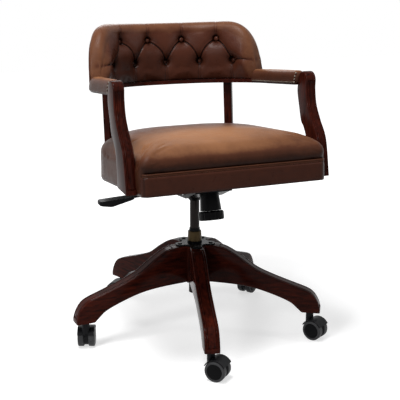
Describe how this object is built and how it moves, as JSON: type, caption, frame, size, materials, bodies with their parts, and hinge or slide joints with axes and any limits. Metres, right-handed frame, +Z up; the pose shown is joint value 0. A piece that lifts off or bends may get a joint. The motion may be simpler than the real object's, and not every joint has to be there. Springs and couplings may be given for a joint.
{
  "type": "desk_chair",
  "caption": "Swivel desk chair with a tufted leather horseshoe back, padded arms, a crowned leather seat and a carved wooden star base on casters",
  "frame": {"origin": "on the column's axis at floor level", "axes": "+Z up, the seat faces -Y, +X to the right as seen from the front looking along +Y"},
  "size_m": [0.6065, 0.6476, 0.7703],
  "materials": {
    "mahogany": "gloss lacquer over dark red-brown stain",
    "leather": "antiqued oxblood brown, semi-gloss",
    "black_plastic": "satin",
    "black_steel": "gloss black enamel",
    "bronze_steel": "dark bronze enamel",
    "antique_brass": "aged, satin",
    "steel": "zinc plated",
    "tread": "matt",
    "dust_cloth": "black non-woven cloth",
    "frame_wood": "sawn, unfinished"
  },
  "bodies": {
    "base": {"leg_1": "mahogany", "leg_2": "mahogany", "leg_3": "mahogany", "leg_4": "mahogany", "leg_5": "mahogany", "hub": "mahogany", "hub_cover": "black_steel", "leg_bolts": "black_steel", "caster_sockets": "steel", "outer_tube": "bronze_steel", "brass_sleeve": "antique_brass", "guide_bush": "black_plastic", "thrust_bearing": "steel"},
    "spindle": {"piston_rod": "steel"},
    "lift": {"gas_cylinder": "bronze_steel", "column_bracket": "black_steel", "tension_spring": "steel"},
    "lever": {"lift_lever": "black_plastic"},
    "valve": {"valve_pin": "steel"},
    "seat": {"tilt_pivot": "steel", "mechanism_pan": "black_steel", "plate_bolts": "black_steel", "seat_battens": "frame_wood", "dust_cover": "dust_cloth", "seat_frame": "frame_wood", "seat_deck": "frame_wood", "seat_cushion": "leather", "apron": "leather", "piping": "leather", "front_post_left": "mahogany", "front_post_right": "mahogany", "rear_posts": "mahogany", "arm_rail": "mahogany", "arm_pad_left": "leather", "arm_pad_right": "leather", "back_pad": "leather", "back_shell": "leather", "tuft_buttons": "leather"},
    "knob": {"tension_knob": "black_plastic", "tension_bolt": "steel"},
    "caster_1": {"caster_1_hood": "black_plastic", "caster_1_pins": "steel"},
    "wheel_1_left": {"caster_1_wheel_left": "tread"},
    "wheel_1_right": {"caster_1_wheel_right": "tread"},
    "caster_2": {"caster_2_hood": "black_plastic", "caster_2_pins": "steel"},
    "wheel_2_left": {"caster_2_wheel_left": "tread"},
    "wheel_2_right": {"caster_2_wheel_right": "tread"},
    "caster_3": {"caster_3_hood": "black_plastic", "caster_3_pins": "steel"},
    "wheel_3_left": {"caster_3_wheel_left": "tread"},
    "wheel_3_right": {"caster_3_wheel_right": "tread"},
    "caster_4": {"caster_4_hood": "black_plastic", "caster_4_pins": "steel"},
    "wheel_4_left": {"caster_4_wheel_left": "tread"},
    "wheel_4_right": {"caster_4_wheel_right": "tread"},
    "caster_5": {"caster_5_hood": "black_plastic", "caster_5_pins": "steel"},
    "wheel_5_left": {"caster_5_wheel_left": "tread"},
    "wheel_5_right": {"caster_5_wheel_right": "tread"}
  },
  "joints": [
    {"name": "seat_swivel", "type": "hinge", "parent": "base", "child": "spindle", "pos_m": [0, 0, 0.11], "axis": [0, 0, 1], "continuous": true},
    {"name": "height_lift", "type": "slide", "parent": "spindle", "child": "lift", "axis": [0, 0, 1], "range_m": [-0.062, 0.04]},
    {"name": "seat_tilt", "type": "hinge", "parent": "lift", "child": "seat", "pos_m": [0, -0.045, 0.376], "axis": [-1, 0, 0], "range_deg": [0, 12], "stiffness_Nm_per_rad": 60, "springref_deg": -20.05, "deforming": ["tension_spring"]},
    {"name": "lever_lift", "type": "hinge", "parent": "lift", "child": "lever", "pos_m": [-0.02, 0, 0.3718], "axis": [0, 1, 0], "range_deg": [0, 7], "stiffness_Nm_per_rad": 2, "springref_deg": -6.88},
    {"name": "valve_press", "type": "slide", "parent": "lift", "child": "valve", "axis": [0, 0, -1], "range_m": [0, 0.0026]},
    {"name": "tension_turn", "type": "hinge", "parent": "seat", "child": "knob", "pos_m": [0, -0.104, 0.32989], "axis": [0, 0.2504, 0.9681], "continuous": true},
    {"name": "caster_1_swivel", "type": "hinge", "parent": "base", "child": "caster_1", "pos_m": [-0.29474, -0.01235, 0.07], "axis": [0, 0, 1], "continuous": true},
    {"name": "wheel_1_left_roll", "type": "hinge", "parent": "caster_1", "child": "wheel_1_left", "pos_m": [-0.28807, 0.00328, 0.025], "axis": [0.9198, -0.3923, 0], "continuous": true},
    {"name": "wheel_1_right_roll", "type": "hinge", "parent": "caster_1", "child": "wheel_1_right", "pos_m": [-0.28807, 0.00328, 0.025], "axis": [0.9198, -0.3923, 0], "continuous": true},
    {"name": "caster_2_swivel", "type": "hinge", "parent": "base", "child": "caster_2", "pos_m": [-0.07933, -0.28413, 0.07], "axis": [0, 0, 1], "continuous": true},
    {"name": "wheel_2_left_roll", "type": "hinge", "parent": "caster_2", "child": "wheel_2_left", "pos_m": [-0.06796, -0.29677, 0.025], "axis": [-0.7431, -0.6691, 0], "continuous": true},
    {"name": "wheel_2_right_roll", "type": "hinge", "parent": "caster_2", "child": "wheel_2_right", "pos_m": [-0.06796, -0.29677, 0.025], "axis": [-0.7431, -0.6691, 0], "continuous": true},
    {"name": "caster_3_swivel", "type": "hinge", "parent": "base", "child": "caster_3", "pos_m": [0.24571, -0.16325, 0.07], "axis": [0, 0, 1], "continuous": true},
    {"name": "wheel_3_left_roll", "type": "hinge", "parent": "caster_3", "child": "wheel_3_left", "pos_m": [0.25421, -0.17797, 0.025], "axis": [-0.866, -0.5, 0], "continuous": true},
    {"name": "wheel_3_right_roll", "type": "hinge", "parent": "caster_3", "child": "wheel_3_right", "pos_m": [0.25421, -0.17797, 0.025], "axis": [-0.866, -0.5, 0], "continuous": true},
    {"name": "caster_4_swivel", "type": "hinge", "parent": "base", "child": "caster_4", "pos_m": [0.23119, 0.18324, 0.07], "axis": [0, 0, 1], "continuous": true},
    {"name": "wheel_4_left_roll", "type": "hinge", "parent": "caster_4", "child": "wheel_4_left", "pos_m": [0.24511, 0.19299, 0.025], "axis": [0.5736, -0.8192, 0], "continuous": true},
    {"name": "wheel_4_right_roll", "type": "hinge", "parent": "caster_4", "child": "wheel_4_right", "pos_m": [0.24511, 0.19299, 0.025], "axis": [0.5736, -0.8192, 0], "continuous": true},
    {"name": "caster_5_swivel", "type": "hinge", "parent": "base", "child": "caster_5", "pos_m": [-0.10283, 0.2765, 0.07], "axis": [0, 0, 1], "continuous": true},
    {"name": "wheel_5_left_roll", "type": "hinge", "parent": "caster_5", "child": "wheel_5_left", "pos_m": [-0.11585, 0.28743, 0.025], "axis": [0.6428, 0.766, 0], "continuous": true},
    {"name": "wheel_5_right_roll", "type": "hinge", "parent": "caster_5", "child": "wheel_5_right", "pos_m": [-0.11585, 0.28743, 0.025], "axis": [0.6428, 0.766, 0], "continuous": true}
  ],
  "couplings": [
    {"joint": "valve_press", "follows": "lever_lift", "m_per_rad": 0.02}
  ]
}
